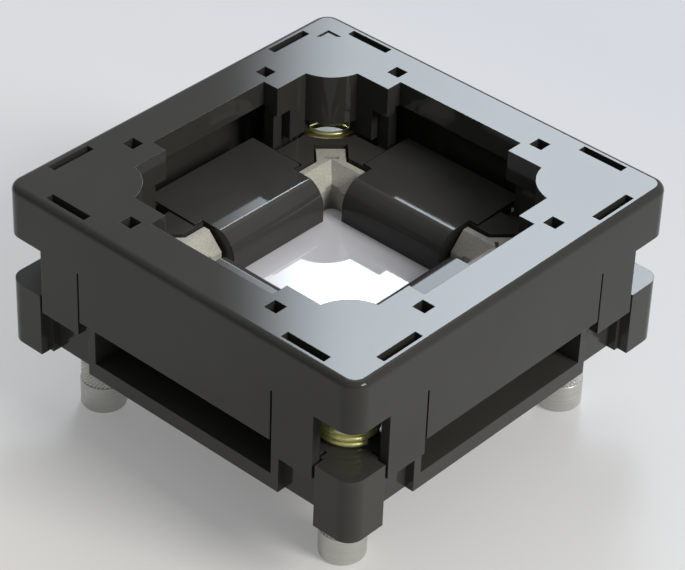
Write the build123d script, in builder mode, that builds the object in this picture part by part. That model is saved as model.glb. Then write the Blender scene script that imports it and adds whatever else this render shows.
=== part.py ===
# Burn-in test socket, open-top kind: a sprung cover slides down on a base and swings
# four latches off the device. Millimetres, +Z up, origin at the centre of the base's
# underside. East is +X, north is +Y; pin one is at the north-west corner.
# Words used below: t runs along a side from its middle, r runs outwards from the centre.
import math
import os

from build123d import *

# Device, a land grid package; the sizes across follow from it, ring by ring, outwards
device_half = 7.50
device_top = 5.53
device_thick = 1.50
device_round = 0.80
pitch = 1.27
rows = 10
barrel_r = 0.30
tip_r = 0.18
tail_pin_r = 0.20
tail_len = 2.90

# Contact block, seating plate and corner guides
block_half = device_half + 0.50
block_z = 3.00
seat_half = device_half + 1.10
seat_side = device_half + 0.65
seat_gap = 0.05
device_gap = 0.05         # round the device, in the guides
guide_ledge = device_top - 0.28
guide_top = guide_ledge + 3.62
guide_in = device_half + 1.47     # lead-in at its top
guide_foot_z = guide_top - 1.50   # and at its foot
guide_r = guide_in + 0.58
relief = 0.15             # pocket for the device's corner
relief_t = 0.88
tab_half = 1.25
tab_end = guide_r * math.sqrt(2) + 0.72
tab_slot = 0.37           # room behind a tab
dash_in = 1.33
tab_z = guide_top - 0.80

# Latches
pivot_r = device_half + 2.30
pivot_z = 4.30
swing = 38.0              # degrees for the whole travel of the cover
travel = 2.60
hub_r = 1.00
pin_r = 0.50
pin_gap = 0.05
stub_r = 0.45
stub_block = 0.80
drive_gap = 0.04
latch_top = guide_top + 0.28
latch_half = device_half - 2.18
latch_gap = 0.13
latch_back = pivot_r + 1.80
guide_t = latch_half + 0.30
nose_gap = 0.02
nose_r = device_half - 1.10
nose_top_r = nose_r + 1.50
nose_foot_z = latch_top - 2.27
nose_edge = 1.00          # small round between the top and the nose
top_rise = 0.0192         # the closed latch's top rises outwards by about a degree
tail_half = latch_half + 0.88
tail_r0 = pivot_r + 0.25
tail_under = latch_top - 1.95
pin_half = tail_half + 0.70
arm = travel / (2 * math.sin(math.radians(swing / 2)))
stub_at_r = pivot_r + arm * math.cos(math.radians(swing / 2))
stub_at_z = pivot_z + arm * math.sin(math.radians(swing / 2))

# Window and pushers of the cover
column_in = 0.5755        # window step to the stub's axis
step_t = tail_half + 0.30
step_r = stub_at_r - column_in
column_t0 = step_t + 0.44         # column that pushes the latch, set back from the step
column_t1 = column_t0 + 1.04
column_set = 0.80
stub_half = step_t + 0.60
bar_r = step_r + 1.57     # window edge at the middle of a side
column_r = step_r + 1.10
jaw_back = column_r + 0.20
jaw_r = jaw_back + 0.55
tail_r = step_r + 2.50
peep = 1.20
peep_r = step_r + 2.55
peep_t = step_t + 1.22
notch_t1 = column_t1 + 0.14       # opening below the step through which the column shows

# Base
deck_z = latch_top - 0.05         # inner top of the base
deck_in = guide_r + 0.28
floor_z = 1.20            # floor under the latches
pocket_r = jaw_r + 0.15
base_wall = 1.96
base_r = pocket_r + base_wall     # plain wall behind the cover's legs
rim_depth = 0.83
rim_r = base_r + rim_depth        # foot rim and pillars, just inside the cover's skirt
rim_z = 1.44
rim_gap = 0.11
catch_depth = 0.60
catch_z = 5.25
catch_height = 0.80
hook_gap = 0.19
hook_r = base_r + hook_gap
pillar_z = deck_z - 0.50
post_z = 5.91             # the springs stand here
post_round = 1.40

# Cover
skirt = 0.85
skirt_in = rim_r + rim_gap
cover_r = skirt_in + skirt
cover_plate = 2.23
cover_top = deck_z + travel + 3.40
plate_z = cover_top - cover_plate
skirt_z = post_z - 0.19
boss_z = deck_z + 1.35    # foot of the spring bosses and of the skirt's corners
wall_z = latch_top + 0.15
cover_round = 1.50
top_round = 0.60
post_inset = 0.02
post_r = cover_r - post_inset     # corner posts, flush with the cover
post_t = post_r - 3.73
leg_t1 = post_t - 0.28
leg_t0 = leg_t1 - 4.17
leg_z = 4.40
leg_slit = 0.20
slot_t0 = leg_t0 - 0.05
slot_t1 = leg_t1 + 0.08
rim_t = leg_t0 - 0.10
pillar_t = rim_t - 0.78
mark = 1.50
mark_c = cover_r - 2.85

# Corner springs
wire = 0.45
spring_c = cover_r - 4.99
spring_mid_r = 2.31
spring_top_z = cover_top - 0.75
end_pitch = wire + 0.03   # the first and last half coil
close_pitch = wire + 0.12
close_turns = 3.7         # close coils above the foot, then open ones up to the cover
open_pitch = wire + 0.75
spring_turn = -12         # where the wire starts, seen from above
stud_r = spring_mid_r - wire / 2 - 0.635
stud_z = post_z + 0.30
spring_gap = 0.15
boss_r = spring_mid_r + wire / 2 + spring_gap + 1.195
boss_gap = 0.17

# Mounting pins
mount_c = cover_r - 5.32
mount_r = 1.94            # foot of the pin
mount_neck_r = 1.86       # knurled neck, pressed into the base
mount_neck_z = -4.20
mount_len = 6.80
mount_in = 3.00

seat_z = device_top - device_thick
far = 25.0
SIDES = {"east": 0, "north": 90, "west": 180, "south": 270}
CORNERS = {"ne": 0, "nw": 90, "sw": 180, "se": 270}


def side_box(angle, t0, t1, r0, r1, z0, z1, mode=Mode.ADD):
    """A block on one side: t along the side, r outwards, z up."""
    middle = Location(((r0 + r1) / 2, (t0 + t1) / 2, (z0 + z1) / 2))
    with Locations(Location((0, 0, 0), (0, 0, angle)) * middle):
        Box(r1 - r0, t1 - t0, z1 - z0, mode=mode)


def pair_box(angle, t0, t1, r0, r1, z0, z1, mode=Mode.ADD):
    """The same block on both halves of a side."""
    side_box(angle, t0, t1, r0, r1, z0, z1, mode)
    side_box(angle, -t1, -t0, r0, r1, z0, z1, mode)


def corner_point(angle, radius):
    """A point on a corner's diagonal, radius given along each axis."""
    turn = math.radians(angle)
    x = radius * (math.cos(turn) - math.sin(turn))
    y = radius * (math.sin(turn) + math.cos(turn))
    return x, y


def side_plane(angle):
    """The upright plane through a side's middle: x outwards, y up."""
    turn = math.radians(angle)
    out = (math.cos(turn), math.sin(turn), 0)
    return Plane(origin=(0, 0, 0), x_dir=out, z_dir=(out[1], -out[0], 0))


def save(part, label):
    part.label = label
    export_step(part, "parts/" + label + ".step")


os.makedirs("parts", exist_ok=True)

# Base moulding
with BuildPart() as base:
    with Locations((0, 0, deck_z / 2)):
        Box(2 * base_r, 2 * base_r, deck_z)
    for turn in SIDES.values():
        side_box(turn, -rim_t, rim_t, base_r - 0.5, rim_r, 0, rim_z)
        pair_box(turn, pillar_t, rim_t, base_r - 0.5, rim_r, 0, pillar_z)
        pair_box(turn, leg_t0 + 0.4, leg_t1 - 0.4, base_r - 0.5, base_r + catch_depth,
                 catch_z, catch_z + catch_height)
        # shoulder between each leg's hook and the corner post
        pair_box(turn, leg_t1 - 0.10, post_t + 0.1, base_r - 0.5, rim_r, 0, post_z)
    # posts in the corners, with the spring's seat on top
    for turn in CORNERS.values():
        middle = (post_t + post_r) / 2
        x, y = corner_point(turn, middle)
        with BuildSketch(Plane.XY):
            with Locations((x, y)):
                Rectangle(post_r - post_t, post_r - post_t)
            outer = corner_point(turn, post_r)
            fillet(
                [v for v in vertices() if abs(v.X - outer[0]) < 0.01 and abs(v.Y - outer[1]) < 0.01],
                radius=post_round,
            )
        extrude(amount=post_z)
    for turn in CORNERS.values():
        x, y = corner_point(turn, spring_c)
        with Locations((x, y, (post_z + far) / 2)):
            Cylinder(boss_r + boss_gap, far - post_z, mode=Mode.SUBTRACT)
        x, y = corner_point(turn, (spring_c + far) / 2)
        with Locations((x, y, (post_z + far) / 2)):
            Box(far - spring_c, far - spring_c, far - post_z, mode=Mode.SUBTRACT)
        x, y = corner_point(turn, spring_c)
        with Locations((x, y, (post_z + stud_z) / 2 - 0.5)):
            Cylinder(stud_r, stud_z - post_z + 1.0)
    # room for the latches, their pushers and the tails' swing
    for turn in SIDES.values():
        side_box(turn, -latch_half - latch_gap, latch_half + latch_gap, block_half, pocket_r,
                 floor_z, far, Mode.SUBTRACT)
        side_box(turn, -tail_half - 0.15, tail_half + 0.15, tail_r0 + 0.85, pocket_r,
                 floor_z, far, Mode.SUBTRACT)
        side_box(turn, -tail_half - 0.15, tail_half + 0.15, tail_r0 - 0.2, pocket_r,
                 guide_ledge + 0.3, far, Mode.SUBTRACT)
        side_box(turn, -column_t1 - 0.15, column_t1 + 0.15, step_r - 0.15, pocket_r,
                 floor_z, far, Mode.SUBTRACT)
        side_box(turn, -pillar_t, pillar_t, pocket_r - 0.05, far, rim_z, far, Mode.SUBTRACT)
        pair_box(turn, column_t1 + 0.05, leg_t0 - 0.45, step_r - 0.15, column_r + 0.05,
                 post_z, far, Mode.SUBTRACT)
    # well for the contact block, ledge and opening for the seat and its guides
    with Locations((0, 0, 0)):
        Box(2 * block_half, 2 * block_half, 2 * far, mode=Mode.SUBTRACT)
    well = seat_half + seat_gap
    with Locations((0, 0, block_z + far / 2)):
        Box(2 * well, 2 * well, far, mode=Mode.SUBTRACT)
    with Locations((0, 0, guide_ledge + far / 2)):
        Box(2 * deck_in, 2 * deck_in, far, mode=Mode.SUBTRACT)
    for turn in CORNERS.values():
        slot = Location((tab_end + tab_slot - 1.3, 0, tab_z - 1.0 + far / 2))
        with Locations(Location((0, 0, 0), (0, 0, turn + 45)) * slot):
            Box(2.6, 2 * tab_half + 0.4, far, mode=Mode.SUBTRACT)
    # bores for the hinge pins and the mounting pins
    for turn in SIDES.values():
        with BuildSketch(side_plane(turn)):
            with Locations((pivot_r, pivot_z)):
                Circle(pin_r)
        extrude(amount=pin_half, both=True, mode=Mode.SUBTRACT)
    for turn in CORNERS.values():
        x, y = corner_point(turn, mount_c)
        with Locations((x, y, mount_in / 2)):
            Cylinder(mount_neck_r, mount_in, mode=Mode.SUBTRACT)
save(base.part, "base")

# Contact block with its grid of bores
with BuildPart() as contact_block:
    with Locations((0, 0, block_z / 2)):
        Box(2 * block_half, 2 * block_half, block_z)
    with BuildSketch(Plane.XY):
        with GridLocations(pitch, pitch, rows, rows):
            Circle(barrel_r)
    extrude(amount=block_z, mode=Mode.SUBTRACT)
save(contact_block.part, "contact_block")

# Spring contacts: soldering tail, barrel and tip
with BuildPart() as contacts:
    with GridLocations(pitch, pitch, rows, rows):
        with Locations((0, 0, -tail_len / 2)):
            Cylinder(tail_pin_r, tail_len)
        with Locations((0, 0, block_z / 2)):
            Cylinder(barrel_r, block_z)
        with Locations((0, 0, (block_z + seat_z) / 2)):
            Cylinder(tip_r, seat_z - block_z)
save(contacts.part, "contacts")

# Seating plate with the four corner guides
with BuildPart() as seating_plate:
    with Locations((0, 0, (block_z + guide_ledge) / 2)):
        Box(2 * seat_half, 2 * seat_half, guide_ledge - block_z)
    middle = (guide_ledge + guide_top) / 2
    with Locations((0, 0, middle)):
        Box(2 * guide_r, 2 * guide_r, guide_top - guide_ledge)
    for turn in CORNERS.values():
        with Locations(Location((0, 0, 0), (0, 0, turn + 45)) * Location((0, 0, tab_z))):
            with Locations((tab_end / 2, 0, 0)):
                Box(tab_end, 2 * tab_half, 2 * (guide_top - tab_z))
    device_way = device_half + device_gap
    with BuildSketch(Plane.XY.offset(guide_foot_z)):
        Rectangle(2 * device_way, 2 * device_way)
    lead = math.degrees(math.atan((guide_in - device_way) / (guide_top - guide_foot_z)))
    extrude(amount=guide_top - guide_foot_z + 0.01, taper=-lead, mode=Mode.SUBTRACT)
    with Locations((0, 0, (seat_z + guide_foot_z) / 2)):
        Box(2 * device_way, 2 * device_way, guide_foot_z - seat_z, mode=Mode.SUBTRACT)
    for turn in CORNERS.values():
        x, y = corner_point(turn, device_way + relief - relief_t / 2)
        with Locations((x, y, (seat_z + guide_top) / 2)):
            Box(relief_t, relief_t, guide_top - seat_z, mode=Mode.SUBTRACT)
    for turn in SIDES.values():
        side_box(turn, -guide_t, guide_t, seat_side, far, 0, far, Mode.SUBTRACT)
        side_box(turn, -guide_t, guide_t, device_half - 0.5, far, seat_z, far, Mode.SUBTRACT)
    for turn in CORNERS.values():
        with Locations(Location((0, 0, 0), (0, 0, turn + 45)) * Location((tab_end - dash_in, 0, guide_top))):
            Box(0.30, 1.3, 0.8, mode=Mode.SUBTRACT)
    with BuildSketch(Plane.XY.offset(block_z)):
        with GridLocations(pitch, pitch, rows, rows):
            Circle(tip_r + 0.07)
    extrude(amount=seat_z - block_z, mode=Mode.SUBTRACT)
save(seating_plate.part, "seating_plate")

# Device under test, a land grid package
with BuildPart() as device:
    with BuildSketch(Plane.XY.offset(seat_z)):
        RectangleRounded(2 * device_half, 2 * device_half, device_round)
    extrude(amount=device_thick)
    chamfer(device.faces().sort_by(Axis.Z)[-1].edges(), length=0.08)
save(device.part, "device")


def top_at(r):
    """Height of the closed latch's top, level with latch_top over the hinge."""
    return latch_top + (r - pivot_r) * top_rise


def make_latch(angle):
    """A latch lying closed: nose on the device, tail under the cover's bar."""
    with BuildPart() as latch:
        with BuildSketch(side_plane(angle)):
            with BuildLine():
                # upright at its foot, with a clear edge at the top
                a, b = nose_top_r - nose_r, top_at(nose_top_r) - nose_foot_z
                nose_round = (a * a + b * b) / (2 * a)
                nose = RadiusArc((nose_top_r, top_at(nose_top_r)), (nose_r, nose_foot_z), -nose_round)
                sole_z = device_top + nose_gap
                Polyline(nose @ 1, (nose_r, sole_z), (device_half + 0.20, sole_z),
                         (pivot_r - 1.05, pivot_z + 0.40), (pivot_r - hub_r, pivot_z),
                         (pivot_r, pivot_z - hub_r), (pivot_r + hub_r, pivot_z),
                         (pivot_r + 1.3, tail_under), (latch_back, tail_under),
                         (latch_back, top_at(latch_back)), nose @ 0)
            make_face()
            with Locations((pivot_r, pivot_z)):
                Circle(hub_r)
        extrude(amount=latch_half, both=True)
        fillet(
            [e for e in latch.edges() if abs(e.center().Z - top_at(nose_top_r)) < 0.001
             and abs(math.hypot(e.center().X, e.center().Y) - nose_top_r) < 0.001],
            radius=nose_edge,
        )
        with BuildSketch(side_plane(angle)):
            with BuildLine():
                Polyline((tail_r0, top_at(tail_r0)), (tail_r, top_at(tail_r)), (tail_r, tail_under),
                         (stub_at_r + stub_block, tail_under), (stub_at_r + stub_block, stub_at_z),
                         (stub_at_r - stub_block, stub_at_z), (stub_at_r - stub_block, tail_under),
                         (tail_r0 + 0.3, tail_under), (tail_r0, tail_under + 0.3), close=True)
            make_face()
            with Locations((stub_at_r, stub_at_z)):
                Circle(stub_block)
        extrude(amount=tail_half, both=True)
        with BuildSketch(side_plane(angle)):
            with Locations((stub_at_r, stub_at_z)):
                Circle(stub_r)
        extrude(amount=stub_half, both=True)
        with BuildSketch(side_plane(angle)):
            with Locations((pivot_r, pivot_z)):
                Circle(pin_r + pin_gap)
        extrude(amount=far, both=True, mode=Mode.SUBTRACT)
    return latch.part


def make_hinge_pin(angle):
    """A steel pin pressed into the base, through the latch's hub."""
    with BuildPart() as pin:
        with BuildSketch(side_plane(angle)):
            with Locations((pivot_r, pivot_z)):
                Circle(pin_r)
        extrude(amount=pin_half, both=True)
    return pin.part


def make_spring(angle):
    """A round-wire compression spring: closed ends, close coils below and open coils above."""
    height = spring_top_z - post_z - wire
    close_height = close_turns * close_pitch
    open_turns = (height - end_pitch - close_height) / open_pitch
    total = open_turns + close_turns + 1
    cx, cy = corner_point(angle, spring_c)
    steps = 12
    points = []
    for i in range(int(total * steps) + 2):
        turns = min(i / steps, total)
        foot = min(turns, 0.5)
        close = min(turns - foot, close_turns)
        opened = min(turns - foot - close, open_turns)
        z = (turns - close - opened) * end_pitch + close * close_pitch + opened * open_pitch
        a = math.radians(spring_turn) - 2 * math.pi * turns
        points.append((cx + spring_mid_r * math.cos(a), cy + spring_mid_r * math.sin(a),
                       post_z + wire / 2 + z))
    with BuildPart() as spring:
        with BuildLine() as coil:
            Spline(*points)
        with BuildSketch(Plane(origin=coil.line @ 0, z_dir=coil.line % 0)):
            Circle(wire / 2)
        sweep(path=coil.line, is_frenet=True)
    return spring.part


def make_mount_pin(angle):
    """A locating pin: a knurled neck pressed into the base and a smooth foot."""
    x, y = corner_point(angle, mount_c)
    with BuildPart() as pin:
        with Locations((x, y, (mount_neck_z - mount_len) / 2)):
            Cylinder(mount_r, mount_neck_z + mount_len)
        chamfer(pin.edges().group_by(Axis.Z)[0], length=0.25)
        chamfer(pin.edges().group_by(Axis.Z)[-1], length=0.06)
        with Locations((x, y, (mount_in + mount_neck_z) / 2)):
            Cylinder(mount_neck_r, mount_in - mount_neck_z)
    return pin.part


for name, turn in SIDES.items():
    save(make_latch(turn), "latch_" + name)
    save(make_hinge_pin(turn), "hinge_pin_" + name)
for name, turn in CORNERS.items():
    save(make_spring(turn), "spring_" + name)
    save(make_mount_pin(turn), "mount_pin_" + name)

# Cover: top plate with its window, skirt, spring bosses, pushers and snap legs
with BuildPart() as cover:
    with BuildSketch(Plane.XY.offset(skirt_z)):
        RectangleRounded(2 * cover_r, 2 * cover_r, cover_round)
    extrude(amount=cover_top - skirt_z)
    with BuildSketch(Plane.XY.offset(skirt_z)):
        RectangleRounded(2 * skirt_in, 2 * skirt_in, cover_round - skirt)
    extrude(amount=plate_z - skirt_z, mode=Mode.SUBTRACT)
    with BuildSketch(Plane.XY.offset(plate_z)):
        Rectangle(2 * step_r, 2 * step_r)
        Rectangle(2 * bar_r, 2 * step_t)
        Rectangle(2 * step_t, 2 * bar_r)
        for turn in CORNERS.values():
            with Locations(corner_point(turn, spring_c)):
                Circle(boss_r, mode=Mode.SUBTRACT)
    extrude(amount=cover_plate, mode=Mode.SUBTRACT)
    fillet(cover.faces().sort_by(Axis.Z)[-1].outer_wire().edges(), radius=top_round)
    for turn in CORNERS.values():
        x, y = corner_point(turn, spring_c)
        with Locations((x, y, (boss_z + plate_z) / 2 + 0.2)):
            Cylinder(boss_r, plate_z - boss_z + 0.4)
        # the skirt ends higher at the corner, over the spring
        x, y = corner_point(turn, (leg_t1 + far) / 2)
        with Locations((x, y, (skirt_z + boss_z) / 2 - 2)):
            Box(far - leg_t1, far - leg_t1, boss_z - skirt_z + 4, mode=Mode.SUBTRACT)
    for turn in SIDES.values():
        # hanging wall beside the window, its opening and the pusher column with its jaws
        pair_box(turn, step_t, leg_t0 + 0.05, step_r, column_r - 0.1, wall_z, plate_z + 0.5)
        pair_box(turn, step_t - 0.1, notch_t1, step_r - 1, column_r + 1,
                 wall_z - 1, plate_z - 0.57, Mode.SUBTRACT)
        column_foot = stub_at_z + stub_r + drive_gap
        jaw_z = floor_z + travel
        pair_box(turn, column_t0, column_t1, step_r + column_set, jaw_r, column_foot, plate_z + 0.5)
        pair_box(turn, step_t, column_t1, step_r, jaw_r, jaw_z, deck_z - 0.6)
        pair_box(turn, step_t - 0.2, column_t1 + 0.2, step_r - 1, jaw_back,
                 stub_at_z - stub_r - drive_gap, column_foot, Mode.SUBTRACT)
        # legs with their hooks and the slots above them
        pair_box(turn, leg_t0, leg_t1, skirt_in, cover_r, leg_z, boss_z + 0.5)
        pair_box(turn, leg_t0 - leg_slit, leg_t0, skirt_in - 1, far, 0, boss_z, Mode.SUBTRACT)
        pair_box(turn, leg_t0 + 0.2, leg_t1 - 0.2, hook_r, skirt_in + 0.2, leg_z, catch_z)
        pair_box(turn, slot_t0, slot_t1, hook_r, skirt_in, plate_z - 1, far, Mode.SUBTRACT)
        pair_box(turn, peep_t - peep / 2, peep_t + peep / 2, peep_r - peep / 2, peep_r + peep / 2,
                 plate_z - 1, far, Mode.SUBTRACT)
    for turn in CORNERS.values():
        x, y = corner_point(turn, spring_c)
        with Locations((x, y, (boss_z + spring_top_z) / 2 - 1)):
            Cylinder(spring_mid_r + wire / 2 + spring_gap, spring_top_z - boss_z + 2, mode=Mode.SUBTRACT)
    # triangle that marks pin one
    with BuildSketch(Plane.XY.offset(cover_top - 0.12)):
        with Locations((-mark_c, mark_c)):
            Triangle(a=mark, b=mark, c=mark * math.sqrt(2), rotation=180)
    extrude(amount=1, mode=Mode.SUBTRACT)
save(cover.part, "cover")
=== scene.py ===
# %% [markdown]
# # A burn-in test socket
#
# A test socket holds a chip package by its edges while it is heated and tested. The CAD model
# already has every solid in its place, so this lesson dresses those solids and makes the few
# pieces whose surface follows a rule finer than the solid: the coil springs and the knurled pins.
# Every length is in metres, in the frame of the CAD model, with +Z up.

# %% Load the frame
import math

import bmesh
import bpy
from mathutils import Matrix, Vector


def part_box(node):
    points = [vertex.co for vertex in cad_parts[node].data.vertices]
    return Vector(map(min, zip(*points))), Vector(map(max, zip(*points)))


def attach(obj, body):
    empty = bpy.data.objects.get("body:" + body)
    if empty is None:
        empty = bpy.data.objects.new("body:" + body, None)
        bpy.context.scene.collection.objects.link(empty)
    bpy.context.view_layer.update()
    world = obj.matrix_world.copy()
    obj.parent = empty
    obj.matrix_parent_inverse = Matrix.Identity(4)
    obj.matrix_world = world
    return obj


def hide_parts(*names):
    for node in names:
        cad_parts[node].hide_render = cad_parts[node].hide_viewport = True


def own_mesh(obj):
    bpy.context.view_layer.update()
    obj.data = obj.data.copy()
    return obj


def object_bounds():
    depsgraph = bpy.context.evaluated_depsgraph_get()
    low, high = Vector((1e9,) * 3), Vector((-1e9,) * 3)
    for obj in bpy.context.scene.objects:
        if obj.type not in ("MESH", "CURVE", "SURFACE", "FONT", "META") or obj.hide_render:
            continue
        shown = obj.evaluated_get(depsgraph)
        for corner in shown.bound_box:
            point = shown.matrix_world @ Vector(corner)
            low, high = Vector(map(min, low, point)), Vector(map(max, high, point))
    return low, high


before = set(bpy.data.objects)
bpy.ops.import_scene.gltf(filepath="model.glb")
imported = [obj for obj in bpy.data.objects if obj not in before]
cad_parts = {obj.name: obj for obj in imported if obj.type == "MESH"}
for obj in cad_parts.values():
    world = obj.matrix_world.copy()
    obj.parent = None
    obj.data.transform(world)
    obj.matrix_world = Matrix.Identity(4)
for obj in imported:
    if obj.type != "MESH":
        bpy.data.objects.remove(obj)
cad_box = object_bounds()
mm = 0.001
print("CAD box in mm:", [[round(c / mm, 2) for c in corner] for corner in cad_box])

# %% [markdown]
# ## Materials
#
# Each finish is a small node tree. A texture read in object coordinates stays fixed to the
# piece, so the grain keeps its real size wherever the piece moves. One helper makes the shader
# and a noise texture of a given grain, because nearly every finish needs a few of those.

# %% Node helpers
def new_material(name, **sockets):
    """A material with a Principled shader whose plain sockets are set by name."""
    made = bpy.data.materials.new(name)
    made.use_nodes = True
    shader = made.node_tree.nodes["Principled BSDF"]
    for key, value in sockets.items():
        shader.inputs[key.replace("_", " ")].default_value = value
    return made, shader


def node(made, kind, **values):
    """A node with its properties (lower case) and inputs (by name) set."""
    made_node = made.node_tree.nodes.new(kind)
    for key, value in values.items():
        if hasattr(made_node, key):
            setattr(made_node, key, value)
        else:
            made_node.inputs[key.replace("_", " ")].default_value = value
    return made_node


def link(made, a, b):
    made.node_tree.links.new(a, b)


def noise(made, grain, detail=3.0, stretch=(1, 1, 1)):
    """Noise whose lumps are about grain metres wide, fixed to the object."""
    place = node(made, "ShaderNodeTexCoord")
    scale = node(made, "ShaderNodeMapping")
    scale.inputs["Scale"].default_value = [s / grain for s in stretch]
    texture = node(made, "ShaderNodeTexNoise", Scale=1.0, Detail=detail, Roughness=0.55)
    link(made, place.outputs["Object"], scale.inputs["Vector"])
    link(made, scale.outputs["Vector"], texture.inputs["Vector"])
    return texture.outputs["Fac"]


def between(made, factor, low, high):
    """A number that follows a 0 to 1 texture between low and high."""
    spread = node(made, "ShaderNodeMapRange")
    spread.inputs["From Min"].default_value = 0.3
    spread.inputs["From Max"].default_value = 0.7
    spread.inputs["To Min"].default_value = low
    spread.inputs["To Max"].default_value = high
    link(made, factor, spread.inputs["Value"])
    return spread.outputs["Result"]


def tint(made, factor, dark, light):
    """A colour that follows a 0 to 1 texture between two colours."""
    ramp = node(made, "ShaderNodeValToRGB")
    ramp.color_ramp.elements[0].position = 0.3
    ramp.color_ramp.elements[1].position = 0.7
    ramp.color_ramp.elements[0].color = (*dark, 1)
    ramp.color_ramp.elements[1].color = (*light, 1)
    link(made, factor, ramp.inputs["Fac"])
    return ramp.outputs["Color"]


def bump(made, shader, height, depth, edge=0.0):
    """Tilts the surface by a height texture; edge rounds the sharp edges as a mould would."""
    relief = node(made, "ShaderNodeBump", Strength=1.0, Distance=depth)
    link(made, height, relief.inputs["Height"])
    if edge:
        rounded = node(made, "ShaderNodeBevel", samples=6, Radius=edge)
        link(made, rounded.outputs["Normal"], relief.inputs["Normal"])
    link(made, relief.outputs["Normal"], shader.inputs["Normal"])


# %% [markdown]
# The cover, base and latches are glass-filled engineering plastic, moulded in polished steel:
# nearly black, with a clear sheen, a barely uneven tone and softly rounded edges. The base is a
# little paler and duller than the cover, the latches mirror a little less, and the hidden contact
# block is matt. One function makes all of them.

# %% Black moulded plastics
def black_plastic(name, tone, rough, edge, ior=1.32):
    made, shader = new_material(name, IOR=ior)
    darker, lighter = [c * 0.92 for c in tone], [c * 1.08 for c in tone]
    cloudy = between(made, noise(made, 3 * mm), rough * 0.85, rough * 1.15)
    link(made, tint(made, noise(made, 9 * mm), darker, lighter), shader.inputs["Base Color"])
    link(made, cloudy, shader.inputs["Roughness"])
    bump(made, shader, noise(made, 0.12 * mm, 2.0), 0.0006 * mm, edge)
    return made


cover_black = black_plastic("cover black", (0.0350, 0.0345, 0.031), 0.06, 0.05 * mm)
base_black = black_plastic("base black", (0.044, 0.0432, 0.039), 0.12, 0.05 * mm)
latch_black = black_plastic("latch black", (0.048, 0.047, 0.044), 0.05, 0.04 * mm, ior=1.27)
block_black = black_plastic("block black", (0.060, 0.060, 0.058), 0.30, 0.05 * mm)
print("black plastics:", [m.name for m in (cover_black, base_black, latch_black, block_black)])

# %% [markdown]
# The seating plate and its corner guides are an unfilled, heat-proof plastic in its natural
# beige. Its grain is finely mottled: two noises, one small and one larger, make its colour.

# %% Beige guide plastic
guide_beige, shader = new_material("guide beige", IOR=1.5)
mix = node(guide_beige, "ShaderNodeMix", data_type="RGBA", blend_type="MULTIPLY")
mix.inputs["Factor"].default_value = 0.7
fine = tint(guide_beige, noise(guide_beige, 0.16 * mm, 4.0),
            (0.355, 0.342, 0.296), (0.485, 0.473, 0.418))
coarse = tint(guide_beige, noise(guide_beige, 1.2 * mm), (0.84, 0.83, 0.81), (1.0, 1.0, 1.0))
dull = between(guide_beige, noise(guide_beige, 0.4 * mm), 0.45, 0.6)
link(guide_beige, fine, mix.inputs["A"])
link(guide_beige, coarse, mix.inputs["B"])
link(guide_beige, mix.outputs["Result"], shader.inputs["Base Color"])
link(guide_beige, dull, shader.inputs["Roughness"])
bump(guide_beige, shader, noise(guide_beige, 0.1 * mm, 3.0), 0.004 * mm, 0.06 * mm)
print("guide material has", len(guide_beige.node_tree.nodes), "nodes")

# %% [markdown]
# The package has a lapped, pale lilac-grey lid that mirrors the light behind the cover's opening.
# Its polish has only a faint cloudiness.

# %% Package lid
lid_grey, shader = new_material("package lid", IOR=1.62)
lilac = tint(lid_grey, noise(lid_grey, 4 * mm), (0.59, 0.585, 0.62), (0.62, 0.615, 0.65))
cloudy = between(lid_grey, noise(lid_grey, 1.5 * mm), 0.02, 0.04)
link(lid_grey, lilac, shader.inputs["Base Color"])
link(lid_grey, cloudy, shader.inputs["Roughness"])
bump(lid_grey, shader, noise(lid_grey, 0.2 * mm), 0.0001 * mm, 0.08 * mm)
print("lid colour is a noise of", len(lid_grey.node_tree.nodes), "nodes")

# %% [markdown]
# ### Metals
#
# The springs look brassy: plated wire with a fine grain. The pins are turned steel, so their
# lines run round them. A noise that is squeezed along the pin's axis gives such lines.

# %% Metals
def metal(name, dark, light, rough, grain, depth, stretch=(1, 1, 1), metallic=1.0):
    made, shader = new_material(name, Metallic=metallic)
    lines = noise(made, grain, 4.0, stretch)
    worn = between(made, noise(made, 0.8 * mm), rough * 0.8, rough * 1.2)
    link(made, tint(made, lines, dark, light), shader.inputs["Base Color"])
    link(made, worn, shader.inputs["Roughness"])
    bump(made, shader, lines, depth)
    return made


spring_brass = metal("spring brass", (0.70, 0.68, 0.26), (0.84, 0.82, 0.38), 0.38,
                     0.3 * mm, 0.0015 * mm, metallic=0.6)
pin_steel = metal("pin steel", (0.50, 0.50, 0.47), (0.60, 0.60, 0.56), 0.40,
                  0.6 * mm, 0.002 * mm, stretch=(0.15, 0.15, 6), metallic=0.85)
hinge_steel = metal("hinge steel", (0.5, 0.5, 0.5), (0.62, 0.62, 0.62), 0.25,
                    0.3 * mm, 0.001 * mm)
contact_gold = metal("contact gold", (0.75, 0.55, 0.22), (0.88, 0.68, 0.32), 0.22,
                     0.2 * mm, 0.001 * mm)
print("metals:", [m.name for m in (spring_brass, pin_steel, hinge_steel, contact_gold)])

# %% [markdown]
# Each CAD node keeps its solid and only gets a finish. Its record slot stays what it was.

# %% Dress the CAD nodes
finishes = {"cover": cover_black, "base": base_black, "contact_block": block_black,
            "contacts": contact_gold, "seating_plate": guide_beige, "device": lid_grey}
for name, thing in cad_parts.items():
    if name.startswith("latch_"):
        finishes[name] = latch_black
    elif name.startswith("hinge_pin_"):
        finishes[name] = hinge_steel
    elif name.startswith("spring_"):
        finishes[name] = spring_brass
    elif name.startswith("mount_pin_"):
        finishes[name] = pin_steel
    for k in range(len(thing.material_slots)):
        thing.material_slots[k].material = finishes[name]
print(len(finishes), "nodes dressed")

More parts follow.
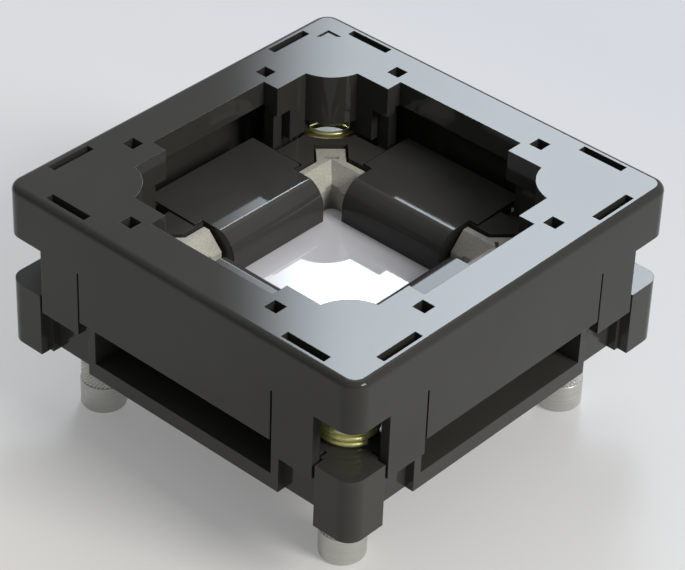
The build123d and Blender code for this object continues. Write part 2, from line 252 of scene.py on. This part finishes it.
# %% [markdown]
# ## Coil springs
#
# A coil follows a rule: the wire's centre goes round by a fixed radius and climbs as it goes. Over
# the first and last half turn it lies nearly closed, then come a few close turns, and the turns
# above them are open. Geometry Nodes can say exactly that. A line is cut into many points, each
# point's place is worked out from its number, and a round profile is swept along it. The mesh of
# the solid spring is coarser, so the four coils stand for the four spring nodes.

# %% A tree builder
def tree(name, inputs):
    """An empty geometry tree with named number inputs; returns it with its two end nodes."""
    made = bpy.data.node_groups.new(name, "GeometryNodeTree")
    made.interface.new_socket("Geometry", in_out="INPUT", socket_type="NodeSocketGeometry")
    for key, value in inputs.items():
        kind = "NodeSocketInt" if isinstance(value, int) else "NodeSocketFloat"
        socket = made.interface.new_socket(key, in_out="INPUT", socket_type=kind)
        socket.default_value = value
    made.interface.new_socket("Geometry", in_out="OUTPUT", socket_type="NodeSocketGeometry")
    return made, made.nodes.new("NodeGroupInput"), made.nodes.new("NodeGroupOutput")


def maths(made, operation, *values):
    """A Math node; each value is a number or a socket."""
    n = made.nodes.new("ShaderNodeMath")
    n.operation = operation
    for k, value in enumerate(values):
        if hasattr(value, "is_linked"):
            made.links.new(value, n.inputs[k])
        else:
            n.inputs[k].default_value = value
    return n.outputs[0]


def grow(made, values, name, finish):
    """Runs a tree on an empty mesh and returns the plain mesh, all in one finish."""
    holder = bpy.data.objects.new(name, bpy.data.meshes.new(name))
    bpy.context.scene.collection.objects.link(holder)
    modifier = holder.modifiers.new("rule", "NODES")
    modifier.node_group = made
    for item in made.interface.items_tree:
        if item.in_out == "INPUT" and item.name in values:
            modifier[item.identifier] = values[item.name]
    deps = bpy.context.evaluated_depsgraph_get()
    mesh = bpy.data.meshes.new_from_object(holder.evaluated_get(deps))
    holder.modifiers.remove(modifier)
    holder.data = mesh
    mesh.materials.clear()
    mesh.materials.append(finish)
    mesh.polygons.foreach_set("material_index", [0] * len(mesh.polygons))
    return holder


def polar(made, angle, radius, height):
    """A place given by an angle round Z, a radius and a height."""
    place = made.nodes.new("ShaderNodeCombineXYZ")
    for axis, turn in (("X", "COSINE"), ("Y", "SINE")):
        part = maths(made, "MULTIPLY", maths(made, turn, angle), radius)
        made.links.new(part, place.inputs[axis])
    made.links.new(height, place.inputs["Z"])
    return place.outputs["Vector"]


def send_out(made, geometry, finish, end):
    """Makes a tree's geometry real, gives it its finish and sends it out."""
    real = made.nodes.new("GeometryNodeRealizeInstances")
    paint = made.nodes.new("GeometryNodeSetMaterial")
    paint.inputs["Material"].default_value = finish
    made.links.new(geometry, real.inputs["Geometry"])
    made.links.new(real.outputs["Geometry"], paint.inputs["Geometry"])
    made.links.new(paint.outputs["Geometry"], end.inputs["Geometry"])


# %% The coil's rule
coil, start, end = tree("coil", {
    "Radius": 2 * mm, "Wire": 0.2 * mm, "Start": 0.0, "End Pitch": 0.5 * mm, "Close Turns": 4.0,
    "Close Pitch": 0.6 * mm, "Open Turns": 4.0, "Open Pitch": 1.2 * mm, "Points": 600})
line = coil.nodes.new("GeometryNodeCurvePrimitiveLine")
points = coil.nodes.new("GeometryNodeResampleCurve")
coil.links.new(line.outputs["Curve"], points.inputs["Curve"])
coil.links.new(start.outputs["Points"], points.inputs["Count"])
number = coil.nodes.new("GeometryNodeInputIndex").outputs[0]
turns = maths(coil, "ADD", start.outputs["Close Turns"], start.outputs["Open Turns"])
turns = maths(coil, "ADD", turns, 1.0)
share = maths(coil, "DIVIDE", number, maths(coil, "SUBTRACT", start.outputs["Points"], 1.0))
t = maths(coil, "MULTIPLY", share, turns)
foot = maths(coil, "MINIMUM", t, 0.5)
left = maths(coil, "SUBTRACT", t, foot)
close = maths(coil, "MINIMUM", left, start.outputs["Close Turns"])
left = maths(coil, "SUBTRACT", left, close)
opened = maths(coil, "MINIMUM", left, start.outputs["Open Turns"])
ends = maths(coil, "ADD", foot, maths(coil, "SUBTRACT", left, opened))
climb = maths(coil, "ADD", maths(coil, "MULTIPLY", ends, start.outputs["End Pitch"]),
              maths(coil, "ADD", maths(coil, "MULTIPLY", close, start.outputs["Close Pitch"]),
                    maths(coil, "MULTIPLY", opened, start.outputs["Open Pitch"])))
angle = maths(coil, "SUBTRACT", start.outputs["Start"], maths(coil, "MULTIPLY", t, 2 * math.pi))
move = coil.nodes.new("GeometryNodeSetPosition")
coil.links.new(points.outputs["Curve"], move.inputs["Geometry"])
coil.links.new(polar(coil, angle, start.outputs["Radius"], climb), move.inputs["Position"])
wire_sides = 14
ring = coil.nodes.new("GeometryNodeCurvePrimitiveCircle")
ring.inputs["Resolution"].default_value = wire_sides
coil.links.new(start.outputs["Wire"], ring.inputs["Radius"])
sweep = coil.nodes.new("GeometryNodeCurveToMesh")
sweep.inputs["Fill Caps"].default_value = True
coil.links.new(move.outputs["Geometry"], sweep.inputs["Curve"])
coil.links.new(ring.outputs["Curve"], sweep.inputs["Profile Curve"])
send_out(coil, sweep.outputs["Mesh"], spring_brass, end)
print("coil tree:", len(coil.nodes), "nodes")

# %% [markdown]
# The springs get shorter as the cover goes down; each coil here is built at one length.

# %% Four springs
CORNERS = ("ne", "nw", "sw", "se")
wire, spring_r, post_z, spring_top = 0.45 * mm, 2.31 * mm, 5.91 * mm, 14.35 * mm
end_pitch, close_pitch, open_pitch, travel = 0.48 * mm, 0.57 * mm, 1.20 * mm, 2.6 * mm
close_turns, wire_start = 3.7, math.radians(-12)
open_turns = (spring_top - post_z - wire - end_pitch - close_turns * close_pitch) / open_pitch
print("each spring has", round(open_turns + close_turns + 1, 2), "turns")
coil_sizes = {"Radius": spring_r, "Wire": wire / 2, "Start": wire_start, "End Pitch": end_pitch,
              "Close Turns": close_turns, "Close Pitch": close_pitch,
              "Open Turns": open_turns, "Open Pitch": open_pitch, "Points": 640}
for corner in CORNERS:
    low_corner, high_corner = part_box("spring_" + corner)
    spring = grow(coil, coil_sizes, "coil_" + corner, spring_brass)
    middle = (low_corner + high_corner) / 2
    spring.data.transform(Matrix.Translation((middle.x, middle.y, post_z + wire / 2)))
    spring.data.shade_smooth()
    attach(spring, "base")
    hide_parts("spring_" + corner)
    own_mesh(spring)
    print("coil_" + corner, len(spring.data.polygons), "faces")

# %% [markdown]
# ## Mounting pins
#
# Under each corner a pin is pressed into the base. Its neck is knurled with two crossing rows of
# grooves, which bite into the plastic, and its foot is smooth. A knurl is a rule too: the radius
# of the neck falls wherever one of two opposite screw lines runs. The tree takes a fine grid,
# rolls it into a tube and sets each point's radius from its angle and height.

# %% The knurl's rule
knurl, start, end = tree("knurl", {"Radius": 1.9 * mm, "Depth": 0.1 * mm, "Teeth": 30.0,
                                   "Slant": 1.0, "Length": 4 * mm})
points_round, points_up = 241, 61
grid = knurl.nodes.new("GeometryNodeMeshGrid")
grid.inputs["Size X"].default_value = 1.0
grid.inputs["Size Y"].default_value = 1.0
grid.inputs["Vertices X"].default_value = points_round
grid.inputs["Vertices Y"].default_value = points_up
split = knurl.nodes.new("ShaderNodeSeparateXYZ")
knurl.links.new(knurl.nodes.new("GeometryNodeInputPosition").outputs[0], split.inputs[0])
angle = maths(knurl, "MULTIPLY", split.outputs["X"], 2 * math.pi)
up = maths(knurl, "MULTIPLY", split.outputs["Y"], start.outputs["Length"])
along = maths(knurl, "DIVIDE", up, start.outputs["Radius"])
along = maths(knurl, "MULTIPLY", along, start.outputs["Slant"])
half = maths(knurl, "DIVIDE", start.outputs["Teeth"], 2.0)
ridges = []
for way in ("ADD", "SUBTRACT"):
    phase = maths(knurl, "MULTIPLY", half, maths(knurl, way, angle, along))
    ridges.append(maths(knurl, "ABSOLUTE", maths(knurl, "SINE", phase)))
relief = maths(knurl, "MULTIPLY", maths(knurl, "MINIMUM", *ridges), start.outputs["Depth"])
groove = maths(knurl, "SUBTRACT", start.outputs["Radius"], start.outputs["Depth"])
radius = maths(knurl, "ADD", groove, relief)
move = knurl.nodes.new("GeometryNodeSetPosition")
knurl.links.new(grid.outputs["Mesh"], move.inputs["Geometry"])
knurl.links.new(polar(knurl, angle, radius, up), move.inputs["Position"])
weld = knurl.nodes.new("GeometryNodeMergeByDistance")
weld.inputs["Distance"].default_value = 0.001 * mm
knurl.links.new(move.outputs["Geometry"], weld.inputs["Geometry"])
send_out(knurl, weld.outputs["Geometry"], pin_steel, end)
print("knurl tree:", len(knurl.nodes), "nodes")

# %% [markdown]
# The smooth foot is a lathed profile: a few points turned round the pin's axis, with small
# rounded corners, added to the same mesh as the knurled neck.

# %% Four pins
def lathe(mesh, profile, steps=96):
    """Adds a profile of (radius, height) turned round Z to a mesh."""
    shape = bmesh.new()
    shape.from_mesh(mesh)
    turns = [2 * math.pi * k / steps for k in range(steps)]
    rings = [[shape.verts.new((r * math.cos(t), r * math.sin(t), z)) for t in turns]
             for r, z in profile]
    for a, b in zip(rings, rings[1:]):
        for k in range(steps):
            shape.faces.new((a[k], a[(k + 1) % steps], b[(k + 1) % steps], b[k])).smooth = True
    shape.faces.new(list(reversed(rings[0])))
    shape.faces.new(rings[-1])
    shape.to_mesh(mesh)
    shape.free()


neck_r, foot_r = 1.88 * mm, 1.94 * mm
foot_low, foot_high, neck_high = -6.80 * mm, -4.20 * mm, 1.0 * mm
low_bevel, high_bevel = 0.25 * mm, 0.08 * mm
quarter = [math.radians(a) for a in (0, 22.5, 45, 67.5, 90)]
profile = [(foot_r - low_bevel * (1 - math.sin(a)), foot_low + low_bevel * (1 - math.cos(a)))
           for a in quarter]
profile += [(foot_r - high_bevel * (1 - math.cos(a)), foot_high - high_bevel * (1 - math.sin(a)))
            for a in quarter]
knurl_sizes = {"Radius": neck_r, "Depth": 0.09 * mm, "Teeth": 32.0, "Slant": 1.0,
               "Length": neck_high - foot_high}
for corner in CORNERS:
    pin = grow(knurl, knurl_sizes, "pin_" + corner, pin_steel)
    pin.data.transform(Matrix.Translation((0, 0, (neck_high + foot_high) / 2)))
    lathe(pin.data, profile)
    low_corner, high_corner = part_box("mount_pin_" + corner)
    middle = (low_corner + high_corner) / 2
    pin.data.transform(Matrix.Translation((middle.x, middle.y, 0)))
    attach(pin, "base")
    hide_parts("mount_pin_" + corner)
    print("pin_" + corner, len(pin.data.polygons), "faces")

# %% [markdown]
# ## Floor, lights and camera
#
# The socket stands on its pins on a plain pale floor. The floor is a touch darker and bluer
# towards +Y, so its colour follows a slow gradient in its own coordinates. A faint glow that only
# the eye and mirrors see makes it a pale background and adds no light to the socket.

# %% Floor
floor_z = cad_box[0].z
bpy.ops.mesh.primitive_plane_add(size=6.0, location=(0, 0, floor_z))
floor = bpy.context.object
floor.name = "floor"
pale, shader = new_material("pale floor", Roughness=0.6, IOR=1.3)
background_lift = 0.20
place = node(pale, "ShaderNodeTexCoord")
slope = node(pale, "ShaderNodeSeparateXYZ")
spread = node(pale, "ShaderNodeMapRange")
spread.inputs["From Min"].default_value = -0.04
spread.inputs["From Max"].default_value = 0.06
link(pale, place.outputs["Object"], slope.inputs["Vector"])
link(pale, slope.outputs["Y"], spread.inputs["Value"])
ramp = node(pale, "ShaderNodeValToRGB")
ramp.color_ramp.elements[0].color = (0.60, 0.59, 0.565, 1)
ramp.color_ramp.elements[1].color = (0.42, 0.43, 0.47, 1)
link(pale, spread.outputs["Result"], ramp.inputs["Fac"])
link(pale, ramp.outputs["Color"], shader.inputs["Base Color"])
glow = node(pale, "ShaderNodeEmission")
paths = node(pale, "ShaderNodeLightPath")
seen = maths(pale.node_tree, "MAXIMUM", paths.outputs["Is Camera Ray"],
             paths.outputs["Is Glossy Ray"])
seen = maths(pale.node_tree, "MAXIMUM", seen, paths.outputs["Is Transmission Ray"])
link(pale, maths(pale.node_tree, "MULTIPLY", seen, background_lift), glow.inputs["Strength"])
both = node(pale, "ShaderNodeAddShader")
link(pale, shader.outputs["BSDF"], both.inputs[0])
link(pale, glow.outputs["Emission"], both.inputs[1])
link(pale, both.outputs["Shader"], pale.node_tree.nodes["Material Output"].inputs["Surface"])
floor.data.materials.append(pale)
print("floor at z", round(floor_z / mm, 2), "mm")

# %% [markdown]
# The top of the cover mirrors a large soft light that stands behind and to the right, with a
# soft left edge: the cover's left half stays dark and its right half shines. The lamp's own
# node tree makes that soft edge, and lets the light grow stronger upwards. The light is only as
# large as that mirror image needs, so rounded edges catch it as a thin line.

# %% Light
view_az = math.radians(41.16)
ahead = Vector((-math.sin(view_az), math.cos(view_az), 0))
across = Vector((math.cos(view_az), math.sin(view_az), 0))


def panel(name, place, size, radiance, colour, aim=(0, 0, 0.008)):
    """A soft rectangular light, aimed at the socket; radiance is what a mirror shows of it."""
    data = bpy.data.lights.new(name, "AREA")
    data.shape = "RECTANGLE"
    data.size, data.size_y = size
    data.energy = radiance * math.pi * size[0] * size[1]
    data.color = colour
    lamp = bpy.data.objects.new(name, data)
    bpy.context.scene.collection.objects.link(lamp)
    to_lamp = (place - Vector(aim)).normalized()
    side = Vector((0, 0, 1)).cross(to_lamp).normalized()
    turned = Matrix((side, to_lamp.cross(side), to_lamp)).transposed().to_4x4()
    lamp.matrix_world = Matrix.Translation(place) @ turned
    return lamp


def upright(name, left, right, low, high, radiance, colour, distance=0.5):
    """A soft light that stands upright ahead of the camera; left and right are measured across."""
    place = ahead * distance + across * (left + right) / 2 + Vector((0, 0, (low + high) / 2))
    return panel(name, place, (right - left, high - low), radiance, colour,
                 aim=place - ahead * distance)


window_left, window_right, window_low, window_high = -0.042, 0.130, 0.25, 0.50
window = upright("window", window_left, window_right, window_low, window_high, 17.0,
                 (0.83, 0.92, 1.0))
window.data.use_nodes = True
parts = window.data.node_tree


def share_at(place):
    """How far along the lamp's own X a place across lies; that X runs from right to left."""
    return (window_right - place) / (window_right - window_left)


def ramp_of(value, start, end, low, high, kind="LINEAR"):
    """A number that goes from low to high as value goes from start to end."""
    made = parts.nodes.new("ShaderNodeMapRange")
    made.interpolation_type = kind
    for key, number in (("From Min", start), ("From Max", end), ("To Min", low), ("To Max", high)):
        made.inputs[key].default_value = number
    parts.links.new(value, made.inputs["Value"])
    return made.outputs["Result"]


spot = parts.nodes.new("ShaderNodeNewGeometry")
apart = parts.nodes.new("ShaderNodeSeparateXYZ")
parts.links.new(spot.outputs["Parametric"], apart.inputs["Vector"])
edge = ramp_of(apart.outputs["X"], share_at(-0.036), share_at(0.004), 0.0, 0.875, "SMOOTHSTEP")
rest = ramp_of(apart.outputs["X"], share_at(0.0), share_at(0.045), 0.0, 0.125)
rise = ramp_of(apart.outputs["Y"], 0.0, 1.0, 0.45, 1.15)
strength = maths(parts, "MULTIPLY", maths(parts, "ADD", edge, rest), rise)
parts.links.new(strength, parts.nodes["Emission"].inputs["Strength"])

# %% [markdown]
# The sides are told apart by a key light from the right (+X), about 36 degrees up: the faces
# that look right are lighter than those that look left. A higher, wide light from behind lifts
# the floor and the upward faces and throws a soft shadow to the front. An even sky, a little
# stronger towards +Y, fills the rest.

# %% Key light and top light
key = Vector((0.80, 0.12, 0.59)).normalized()
panel("key", key * 0.7, (0.26, 0.26), 16.5, (1.0, 0.975, 0.92))
top = (ahead * 0.42 + across * 0.10 + Vector((0, 0, 0.90))).normalized()
panel("top", top * 0.8, (0.5, 0.4), 0.9, (0.97, 0.985, 1.0))

world = bpy.data.worlds.new("sky")
bpy.context.scene.world = world
world.use_nodes = True
sky = world.node_tree.nodes["Background"]
sky.inputs["Color"].default_value = (0.96, 0.975, 1.0, 1)
heading = world.node_tree.nodes.new("ShaderNodeTexCoord")
north = world.node_tree.nodes.new("ShaderNodeSeparateXYZ")
world.node_tree.links.new(heading.outputs["Generated"], north.inputs["Vector"])
even, stronger = 0.44, 0.24
strength = maths(world.node_tree, "MULTIPLY_ADD", north.outputs["Y"], stronger, even)
world.node_tree.links.new(strength, sky.inputs["Strength"])

# %% [markdown]
# The photograph was taken with a long lens from above the near corner. The camera's place was
# fitted to the object's corners: it turns 41.16 degrees, looks down by 36.19 and rolls by 2.22.
# The picture's width and the focal length are both in pixels.

# %% Camera
tilt, roll = math.radians(36.19), math.radians(2.22)
look = ahead * math.cos(tilt) + Vector((0, 0, -math.sin(tilt)))
upward = across.cross(look)
image_right = across * math.cos(roll) + upward * math.sin(roll)
image_up = upward * math.cos(roll) - across * math.sin(roll)
target, distance = Vector((9.414, -10.003, 15.10)) * mm, 214.95 * mm
picture_width, focal_length, sensor = 685, 2855, 36.0
data = bpy.data.cameras.new("camera")
data.sensor_width, data.lens = sensor, focal_length * sensor / picture_width
data.clip_start, data.clip_end = 0.01, 20
camera = bpy.data.objects.new("camera", data)
bpy.context.scene.collection.objects.link(camera)
turned = Matrix((image_right, image_up, -look)).transposed().to_4x4()
camera.matrix_world = Matrix.Translation(target - look * distance) @ turned
bpy.context.scene.camera = camera
bpy.context.scene.view_settings.view_transform = "Standard"
print("lens", round(data.lens, 1), "mm")
